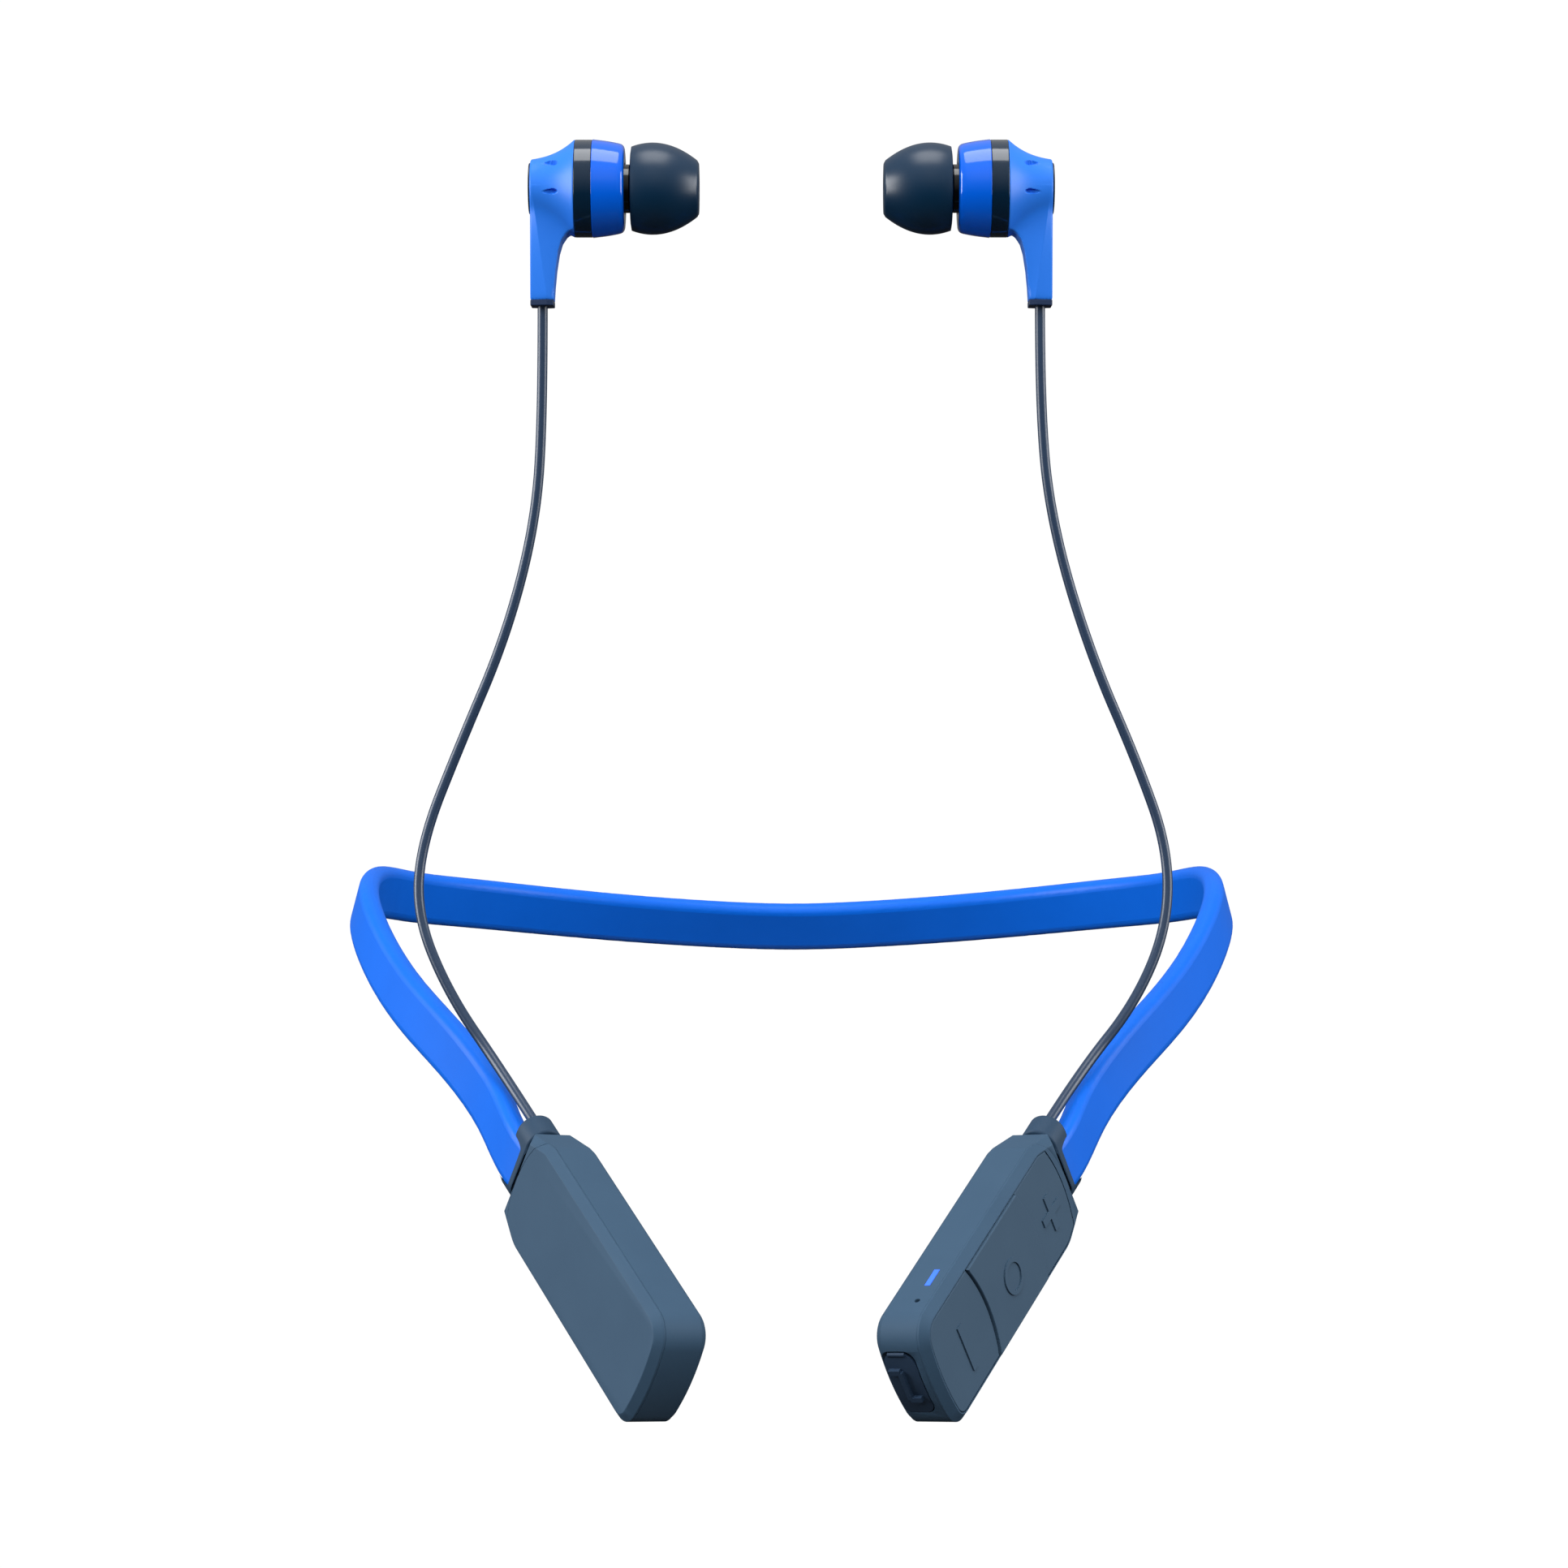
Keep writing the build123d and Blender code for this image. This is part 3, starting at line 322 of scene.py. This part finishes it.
# %% Finishes inside
inside = {
    "spring_steel": surface("drawn_spring_wire", linear(150, 153, 158), linear(120, 123, 128), 0.3,
                            metallic=1.0, stretch=(1.0, 0.1, 1.0)),
    "wiring_jacket": surface("wiring_jacket", linear(38, 40, 46), linear(30, 32, 38), 0.45),
    "switch_plunger": surface("switch_plunger", linear(24, 24, 26), linear(18, 18, 20), 0.4),
    "battery_foil": surface("battery_foil", linear(196, 199, 204), linear(160, 164, 170), 0.3,
                            metallic=1.0, grain=0.8, grain_size=1.6),
    "circuit_board": surface("solder_mask", linear(18, 88, 46), linear(10, 66, 34), 0.3, cloud=1.2,
                             coat=0.5, grain=0.3, grain_size=0.4),
    "chip_package": surface("epoxy_package", linear(34, 34, 36), linear(26, 26, 28), 0.5,
                            cloud=2.0),
    "switch_metal": surface("stamped_switch_can", linear(188, 190, 192), linear(160, 162, 166),
                            0.28, metallic=1.0, stretch=(0.15, 1.0, 1.0)),
    "receptacle_steel": surface("stamped_socket", linear(190, 192, 196), linear(165, 168, 172),
                                0.25, metallic=1.0, stretch=(1.0, 0.15, 1.0)),
    "contact_plastic": surface("contact_block", linear(26, 26, 28), linear(18, 18, 20), 0.4),
    "status_light": surface("status_lens", linear(110, 160, 255), linear(80, 130, 245), 0.2),
    "microphone_can": surface("plated_can", linear(196, 184, 150), linear(170, 158, 126), 0.3,
                              metallic=1.0),
    "screen_steel": surface("woven_screen", linear(150, 152, 155), linear(60, 62, 66), 0.4,
                            metallic=1.0, cloud=0.12, grain=0.9, grain_size=0.12),
    "driver_can": surface("driver_can", linear(170, 172, 176), linear(140, 142, 148), 0.3,
                          metallic=1.0),
    "driver_magnet": surface("nickel_plate", linear(190, 188, 180), linear(170, 168, 160), 0.15,
                             metallic=1.0),
    "coil_copper": surface("wound_copper", linear(200, 118, 66), linear(150, 82, 42), 0.3,
                           metallic=1.0, grain=0.9, grain_size=0.06, stretch=(1.0, 0.05, 0.05)),
    "driver_diaphragm": surface("speaker_film", linear(206, 200, 180), linear(186, 180, 160), 0.2,
                                cloud=1.5),
}
finishes.update(inside)
slot_of = {part["node"]: part["material_slot"] for part in frame["record"]["subparts"]}
for name, node in frame["nodes"].items():
    for entry in node.material_slots:
        entry.material = finishes[slot_of[name]]
for cord in cords.values():
    cord.data.materials.append(finishes["cord_jacket"])
print("finishes inside:", len(inside), "nodes with a finish:", len(slot_of))

# %% [markdown]
# ## Giving a piece its place in the assembly
#
# A finished piece stands for a part of the engineering model. It must move with the same body,
# carry the same finish and hide the plain part that it replaces, so one helper does all three.

# %% Seating a piece
body_of = {
    node: body
    for body, members in frame["record"]["behaviour"]["bodies"].items()
    for node in members
}


def seat(piece, node_name):
    """Lets a finished piece stand for a node: same body, same finish, the plain node hidden."""
    if piece.name not in bpy.context.scene.collection.objects:
        bpy.context.scene.collection.objects.link(piece)
    piece.data.materials.clear()
    piece.data.materials.append(finishes[slot_of[node_name]])
    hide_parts(node_name)
    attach(piece, body_of[node_name])
    return piece


# %% [markdown]
# ## Edges as a mould leaves them
#
# No moulded edge is a perfect knife edge. The engineering parts have exact corners, which
# catch no light, and where two shells meet they leave no line at all. A copy of each shell,
# merged and given a tiny bevel, catches light along its edges, and the two small roundings
# side by side make the fine dark line that shows where the housing opens. Modelling each
# rounding by hand would take far longer and look the same. The frame round the keys, the keys
# and the port cover keep their engineering meshes, because a frame rounded in this way comes
# out with faces over the keys.

# %% Softened copies of the moulded parts
SEAM = 0.09                        # rounding along a housing's parting line, in mm
RUBBER_EDGE = 0.12
BEVEL_STEPS = 2
SHARP = math.radians(35)           # an edge that turns more than this is rounded
FLAT = math.radians(0.5)           # triangles that turn less than this lie in one face
MERGE_DISTANCE = 0.002 * MM


def softened(node_name, width):
    """A merged copy of a part with every sharp edge rounded over width mm."""
    mesh = frame["nodes"][node_name].data.copy()
    work = bmesh.new()
    work.from_mesh(mesh)
    bmesh.ops.remove_doubles(work, verts=work.verts, dist=MERGE_DISTANCE)
    bmesh.ops.dissolve_limit(work, angle_limit=FLAT, verts=work.verts, edges=work.edges)
    for face in work.faces:
        face.smooth = True
    work.to_mesh(mesh)
    work.free()
    mesh.set_sharp_from_angle(angle=SHARP)
    piece = bpy.data.objects.new(node_name + "_moulded", mesh)
    bevel = piece.modifiers.new("mould_edge", "BEVEL")
    bevel.width = width * MM
    bevel.segments = BEVEL_STEPS
    bevel.limit_method = "ANGLE"
    bevel.angle_limit = SHARP
    bevel.harden_normals = True
    bevel.use_clamp_overlap = False
    return seat(piece, node_name)


roundings = {
    "battery_back_shell": SEAM,
    "battery_front_cover": SEAM,
    "control_back_shell": SEAM,
    "left_end_collar": RUBBER_EDGE,
    "right_end_collar": RUBBER_EDGE,
    "left_earbud_stem_cap": RUBBER_EDGE,
    "right_earbud_stem_cap": RUBBER_EDGE,
}
for node_name, width in roundings.items():
    softened(node_name, width)
print("softened parts:", len(roundings))

# %% [markdown]
# ## Turned surfaces
#
# An earbud is mostly a turned form: gloss cup, accent ring, nozzle and eartip are all a
# profile spun round the sound axis. A spun profile is a grid of points, one row per profile
# point and one column per angle, so numpy makes it in one step. The right earbud is the left
# one's mirror image, and Blender turns its faces afterwards so that they still point outwards.

# %% A grid as a mesh, and a profile spun round the sound axis
CREASE = math.radians(40)          # an edge that turns more than this is shaded sharp
EARBUD_Y = float(np.mean([corner[1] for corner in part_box("left_earbud_accent_ring")]))
EARBUD_Z = float(np.mean([corner[2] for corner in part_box("left_earbud_accent_ring")]))


def grid_piece(name, points, ring_rows, side):
    """A mesh from a grid of points: columns close round, rows close too or end in flat caps."""
    rows, columns, _ = points.shape
    placed = points.copy()
    placed[..., 0] *= side
    row = np.arange(rows if ring_rows else rows - 1)[:, None]
    column = np.arange(columns)[None, :]
    after = (column + 1) % columns
    below = (row + 1) % rows
    quads = np.stack(
        [row * columns + column, row * columns + after, below * columns + after,
         below * columns + column], axis=-1,
    ).reshape(-1, 4)
    faces = quads.tolist()
    if not ring_rows:
        faces.append(list(range(columns))[::-1])
        faces.append(list(range((rows - 1) * columns, rows * columns)))
    mesh = bpy.data.meshes.new(name)
    mesh.from_pydata(placed.reshape(-1, 3).tolist(), [], faces)
    work = bmesh.new()
    work.from_mesh(mesh)
    bmesh.ops.recalc_face_normals(work, faces=work.faces)
    work.to_mesh(mesh)
    work.free()
    mesh.shade_smooth()
    mesh.set_sharp_from_angle(angle=CREASE)
    piece = bpy.data.objects.new(name, mesh)
    print(name, len(mesh.polygons), "faces")
    return piece


def spun(profile, columns=160):
    """Points x, y, z: x stays, and the radius becomes y by its cosine and z by its sine."""
    angle = np.linspace(0, 2 * np.pi, columns, endpoint=False)
    x = np.repeat(profile[:, :1], columns, axis=1)
    y = EARBUD_Y + profile[:, 1:] * np.cos(angle)
    z = EARBUD_Z + profile[:, 1:] * np.sin(angle)
    return np.stack([x, y, z], axis=-1)


def rounded(corners, steps=6):
    """A closed profile from (x, radius, rounding) corners, each one a quadratic curve."""
    places = np.array([corner[:2] for corner in corners])
    before = np.roll(places, 1, axis=0) - places
    after = np.roll(places, -1, axis=0) - places
    length_before = np.linalg.norm(before, axis=1)[:, None]
    length_after = np.linalg.norm(after, axis=1)[:, None]
    size = np.array([[corner[2]] for corner in corners])
    reach = np.minimum(size, 0.49 * np.minimum(length_before, length_after))
    start = places + before / length_before * reach
    finish = places + after / length_after * reach
    t = np.linspace(0, 1, steps)[None, :, None]
    curve = (
        (1 - t) ** 2 * start[:, None]
        + 2 * t * (1 - t) * places[:, None]
        + t ** 2 * finish[:, None]
    )
    return curve.reshape(-1, 2)


def span_x(node_name):
    """The lowest and highest x of a left earbud's part, in mm."""
    low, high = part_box("left_" + node_name)
    return low[0] / MM, high[0] / MM


def radius_of(node_name):
    """Half of a turned part's height, in mm."""
    low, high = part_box("left_" + node_name)
    return (high[2] - low[2]) / 2 / MM


def both_sides(node_name, piece_name, points, ring_rows=True):
    """Seats a left piece and its mirror image in place of the two nodes."""
    seat(grid_piece("left_" + piece_name, points, ring_rows, 1), "left_" + node_name)
    seat(grid_piece("right_" + piece_name, points, ring_rows, -1), "right_" + node_name)


# %% [markdown]
# ## Gloss cup, accent ring, badge and nozzle
#
# The gloss cup tapers a little towards the ear and has a rounded front edge, which is where
# its sharp highlight sits. The accent ring is a hair smaller than its neighbours, so that a fine
# line shows on each side of it.

# %% Gloss cup, accent ring, badge and nozzle
ring_start, ring_end = span_x("earbud_accent_ring")
cup_start, cup_end = span_x("earbud_front_shell")
body_radius = radius_of("earbud_front_shell")
EDGE = 0.12
both_sides("earbud_accent_ring", "accent_ring", spun(rounded([
    (ring_start + 0.02, body_radius - 1.4, 0.1),
    (ring_start + 0.02, body_radius - 0.06, EDGE),
    (ring_end - 0.02, body_radius - 0.06, EDGE),
    (ring_end - 0.02, body_radius - 1.4, 0.1),
]) * MM))
both_sides("earbud_front_shell", "gloss_cup", spun(rounded([
    (cup_start, body_radius - 1.4, 0.1),
    (cup_start, body_radius, EDGE),
    (cup_start + 2.3, body_radius - 0.27, 1.2),
    (cup_end, body_radius - 0.72, 0.75),
    (cup_end, 3.55, 0.2),
    (cup_end - 0.9, 3.4, 0.1),
    (cup_end - 1.0, 4.4, 0.1),
    (cup_start + 1.6, 4.5, 0.1),
    (cup_start + 1.4, body_radius - 1.4, 0.1),
]) * MM))
nozzle_start, nozzle_end = span_x("earbud_nozzle")
base_end = cup_end + 0.8
both_sides("earbud_nozzle", "nozzle", spun(rounded([
    (nozzle_start, 1.5, 0.05),
    (nozzle_start, 4.0, 0.1),
    (cup_end - 1.05, 4.0, 0.1),
    (cup_end - 1.0, 3.3, 0.1),
    (base_end, 3.3, 0.25),
    (base_end, 2.3, 0.1),
    (nozzle_end - 2.0, 2.3, 0.1),
    (nozzle_end - 1.7, 2.55, 0.1),
    (nozzle_end - 1.1, 2.55, 0.1),
    (nozzle_end, 2.1, 0.15),
    (nozzle_end, 1.9, 0.1),
    (nozzle_end - 0.4, 1.9, 0.05),
    (nozzle_end - 0.4, 1.5, 0.05),
]) * MM))
badge_start, badge_end = span_x("earbud_badge")
badge_radius = radius_of("earbud_badge")
both_sides("earbud_badge", "badge", spun(np.array([
    (badge_end, 0.4), (badge_end, badge_radius - 0.02), (badge_end - 0.08, badge_radius),
    (badge_start + 0.06, badge_radius - 0.02), (badge_start, badge_radius - 0.12),
    (badge_start, badge_radius - 0.5), (badge_start + 0.06, badge_radius - 0.7),
    (badge_start + 0.07, 0.4),
]) * MM), ring_rows=False)

# %% [markdown]
# ## Eartips
#
# A silicone eartip is a thin dome with a wide open skirt, folded back from a sleeve that grips
# the nozzle. Seen from the side its outline is very nearly a parabola: widest a third of the
# way along, falling slowly to the skirt's edge behind and faster to the flat front.

# %% Eartips
tip_start, tip_end = span_x("eartip")
tip_radius = radius_of("eartip")
widest = tip_start + 3.0
fall = (tip_radius - 3.65) / (tip_end - widest) ** 2
along = np.linspace(tip_start + 0.12, tip_end - 0.25, 44)
dome = np.stack([along, tip_radius - fall * (along - widest) ** 2], axis=1)
lip = rounded([
    (tip_end, 3.65, 0.35), (tip_end, 1.75, 0.3), (tip_end - 3.5, 1.75, 0.2),
    (tip_end - 3.6, 2.65, 0.1), (tip_start, 2.65, 0.15), (tip_start, 3.4, 0.15),
    (tip_end - 3.7, 3.4, 0.8), (tip_end - 3.0, 4.2, 0.6),
])[4:]
skin_along = np.linspace(tip_end - 2.9, tip_start, 30)
skin = np.stack([skin_along, tip_radius - 0.7 - fall * (skin_along - widest) ** 2], axis=1)
both_sides("eartip", "eartip_dome", spun(np.concatenate([dome, lip, skin]) * MM))

# %% [markdown]
# ## Rear shells
#
# The rear shell is one moulding: a flared cone that runs down into a faceted stem with no
# seam. Joining two separate forms would leave a hard crease, so the whole shell is one surface:
# for each place along the sound axis and each angle round it, one distance from the axis.
# The distance is a smooth largest of the cone's radius and the stem's reach, which gives the
# fillet under the body by itself.

# %% The rear shell as one surface of distances
shell_start, shell_end = span_x("earbud_rear_shell")
shell_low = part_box("left_earbud_rear_shell")[0][2]
stem_reach = (EARBUD_Z - shell_low) / MM
flare_length = shell_end - shell_start
back_radius = 3.95


def flare(x):
    """The cone's radius: from the back's to the body's by a power of the share of the length."""
    share = np.clip(x / flare_length, 0, 1)
    return back_radius + (body_radius - back_radius) * (0.35 * share + 0.65 * share ** 2.6)


def stem_depth(x):
    """How far the stem reaches down at x: the foot, then up its inner edge to the body."""
    place = [0.0, 3.2, 3.32, 3.5, 3.85, 4.25, 4.85, 5.7, flare_length]
    depth = [stem_reach, stem_reach, 13.4, 11.2, 8.8, 7.4, 6.4, 5.4, 4.6]
    return np.interp(x, place, depth)


def stem_half_width(x, down):
    """Half the stem's width: outside, up to the diagonal ridge, then in to its inner edge."""
    share = np.clip((down - 1.0) / (stem_reach - 1.0), 0, 1)
    ridge = 0.35 + 2.0 * share
    outside = 2.7 - 1.0 * share
    at_ridge = 3.15 - 0.95 * share
    inner = 3.1 - 1.3 * share
    inner_x = 5.7 - 2.5 * share
    rising = outside + (at_ridge - outside) * x / ridge
    falling = at_ridge + (inner - at_ridge) * (x - ridge) / (inner_x - ridge)
    return np.where(x < ridge, rising, np.maximum(falling, 0.6))


FOOT_SHARPNESS = 40.0              # a high power blends two distances over a short way
BODY_SHARPNESS = 11.0
FARTHEST = 40.0                    # where a side of the stem would never be met, in mm


def shell_distance(x, angle):
    """Smooth largest of cone and stem; the stem is a smooth smallest of its sides and its foot."""
    from_down = np.abs(angle)
    sine = np.maximum(np.sin(from_down), 0.02)
    cosine = np.maximum(np.cos(from_down), 0.02)
    reach = np.full(np.broadcast(x, angle).shape, 6.0)
    for _ in range(12):
        reach = np.minimum(stem_half_width(x, reach * cosine) / sine, FARTHEST)
    foot = stem_depth(x) / cosine
    stem = (reach ** -FOOT_SHARPNESS + foot ** -FOOT_SHARPNESS) ** (-1 / FOOT_SHARPNESS)
    stem = np.where(from_down < np.pi / 2, stem, 0.1)
    return (flare(x) ** BODY_SHARPNESS + stem ** BODY_SHARPNESS) ** (1 / BODY_SHARPNESS)


ROUND = 0.22
turn = np.linspace(0, np.pi / 2, 7)
start_x = ROUND * (1 - np.cos(turn))
start_inset = ROUND * (1 - np.sin(turn))
middle_x = np.concatenate([        # rows lie closest where the stem's inner edge turns up
    np.linspace(ROUND, 3.1, 60)[1:],
    np.linspace(3.1, 3.5, 26)[1:],
    np.linspace(3.5, flare_length - ROUND, 56)[1:],
])
end_x = flare_length - ROUND + ROUND * np.sin(turn)
end_inset = ROUND * (1 - np.cos(turn)) * 0.6
rows_x = np.concatenate([start_x, middle_x, end_x[1:]])
inset = np.concatenate([start_inset, np.zeros(len(middle_x)), end_inset[1:]])
spread = np.linspace(-1, 1, 400, endpoint=False)
angles = np.pi * (0.35 * spread + 0.65 * spread ** 3)
grid_x = rows_x[:, None]
distance = shell_distance(grid_x, angles[None, :]) - inset[:, None]
across = distance * np.sin(angles)[None, :]
upwards = -distance * np.cos(angles)[None, :]

# %% [markdown]
# ## Vents
#
# The two vents are shallow scoops on the side that shows, deepest at the end nearer the ear.
# They are pressed into the same surface by shortening its distances inside each oval, which
# leaves the mesh closed. Cutting them with a boolean would break up its even grid.

# %% Vents pressed into the shell
VENTS = [(2.75, 3.0), (2.75, -1.0)]      # along the axis from the back, and up from the axis
VENT_HALF_LENGTH = 1.15
VENT_DEPTH = 1.0
for vent_x, vent_z in VENTS:
    sideways = (grid_x - vent_x) / VENT_HALF_LENGTH
    height = (upwards - vent_z) / (0.33 + 0.14 * np.clip(sideways, -1, 1))
    inside_oval = np.clip(1 - sideways ** 2 - height ** 2, 0, 1)
    slope = 0.45 + 0.55 * np.clip(sideways, -1, 1)
    scoop = VENT_DEPTH * np.clip(inside_oval * 3.0, 0, 1) * np.clip(slope, 0.05, 1)
    distance = np.where(across < 0, distance - scoop, distance)
points = np.stack([
    np.broadcast_to(shell_start + grid_x, distance.shape) * MM,
    EARBUD_Y + distance * np.sin(angles) * MM,
    EARBUD_Z - distance * np.cos(angles) * MM,
], axis=-1)
both_sides("earbud_rear_shell", "rear_shell_moulding", points, ring_rows=False)

# %% [markdown]
# ## Stage and light
#
# Soft-touch plastic has no sharp highlights, so it is the broad lights that draw its form. A
# softbox overhead lights the top edges and puts the bright band on the gloss cups, a strip on
# each side models the housings, and the room gets darker downwards so that the ends of the
# housings and the undersides stay deep. Only where the camera looks past the object is the
# room plain white.

# %% Stage
FLOOR_SIZE = 1.6
FLOOR_HEIGHT = -1.5

half = FLOOR_SIZE / 2
corners = [(-half, -half), (half, -half), (half, half), (-half, half)]
floor_mesh = bpy.data.meshes.new("studio_floor")
floor_mesh.from_pydata([(x, y, FLOOR_HEIGHT) for x, y in corners], [], [(0, 1, 2, 3)])
paper = bpy.data.materials.new("studio_paper")
paper.use_nodes = True
paper.node_tree.nodes["Principled BSDF"].inputs["Base Color"].default_value = (0.9, 0.9, 0.9, 1)
paper.node_tree.nodes["Principled BSDF"].inputs["Roughness"].default_value = 0.9
floor_mesh.materials.append(paper)
sheet = bpy.data.objects.new("studio_floor", floor_mesh)
bpy.context.scene.collection.objects.link(sheet)
sheet.visible_glossy = False       # its reflection would lie on dark parts as a pale veil
print("floor at", FLOOR_HEIGHT, "m")

# %% [markdown]
# ## Light
#
# The world is a gradient by direction, dim below and brighter above. The front fill lifts what
# faces the camera. It is so broad that its reflection would lie on the dark parts as a pale
# veil, so reflections don't see it, as they don't see the paper.

# %% Light
world = bpy.data.worlds.new("studio")
bpy.context.scene.world = world
world.use_nodes = True
sky = world.node_tree
direction = sky.nodes.new("ShaderNodeTexCoord")
split = sky.nodes.new("ShaderNodeSeparateXYZ")
ramp = sky.nodes.new("ShaderNodeMapRange")
ramp.inputs["From Min"].default_value = -0.3
ramp.inputs["From Max"].default_value = 0.9
ramp.inputs["To Min"].default_value = 0.02
ramp.inputs["To Max"].default_value = 0.50
sky.links.new(direction.outputs["Generated"], split.inputs["Vector"])
sky.links.new(split.outputs["Z"], ramp.inputs["Value"])
seen = sky.nodes.new("ShaderNodeLightPath")
either = sky.nodes.new("ShaderNodeMix")
either.inputs["B"].default_value = 1.03
sky.links.new(seen.outputs["Is Camera Ray"], either.inputs["Factor"])
sky.links.new(ramp.outputs["Result"], either.inputs["A"])
sky.links.new(either.outputs["Result"], sky.nodes["Background"].inputs["Strength"])
sky.nodes["Background"].inputs["Color"].default_value = (1, 1, 1, 1)


def softbox(name, place, aim, size, power):
    """A square light of a size in metres that faces a point."""
    data = bpy.data.lights.new(name, "AREA")
    data.shape = "SQUARE"
    data.size = size
    data.energy = power
    light = bpy.data.objects.new(name, data)
    light.location = place
    light.rotation_euler = (Vector(aim) - Vector(place)).to_track_quat("-Z", "Y").to_euler()
    bpy.context.scene.collection.objects.link(light)
    return light


softbox("overhead", (0.0, -0.20, 0.75), (0, -0.09, 0.04), 0.45, 2.4)
fill = softbox("front_fill", (0.0, -0.75, 0.52), (0, -0.09, 0.04), 0.6, 5.6)
fill.visible_glossy = False
softbox("left_side", (-0.70, -0.20, 0.20), (0, -0.10, 0.0), 0.45, 5.8)
softbox("right_side", (0.70, -0.20, 0.20), (0, -0.10, 0.0), 0.45, 4.0)
bpy.context.scene.view_settings.view_transform = "Standard"
print("lights:", [light.name for light in bpy.data.lights])
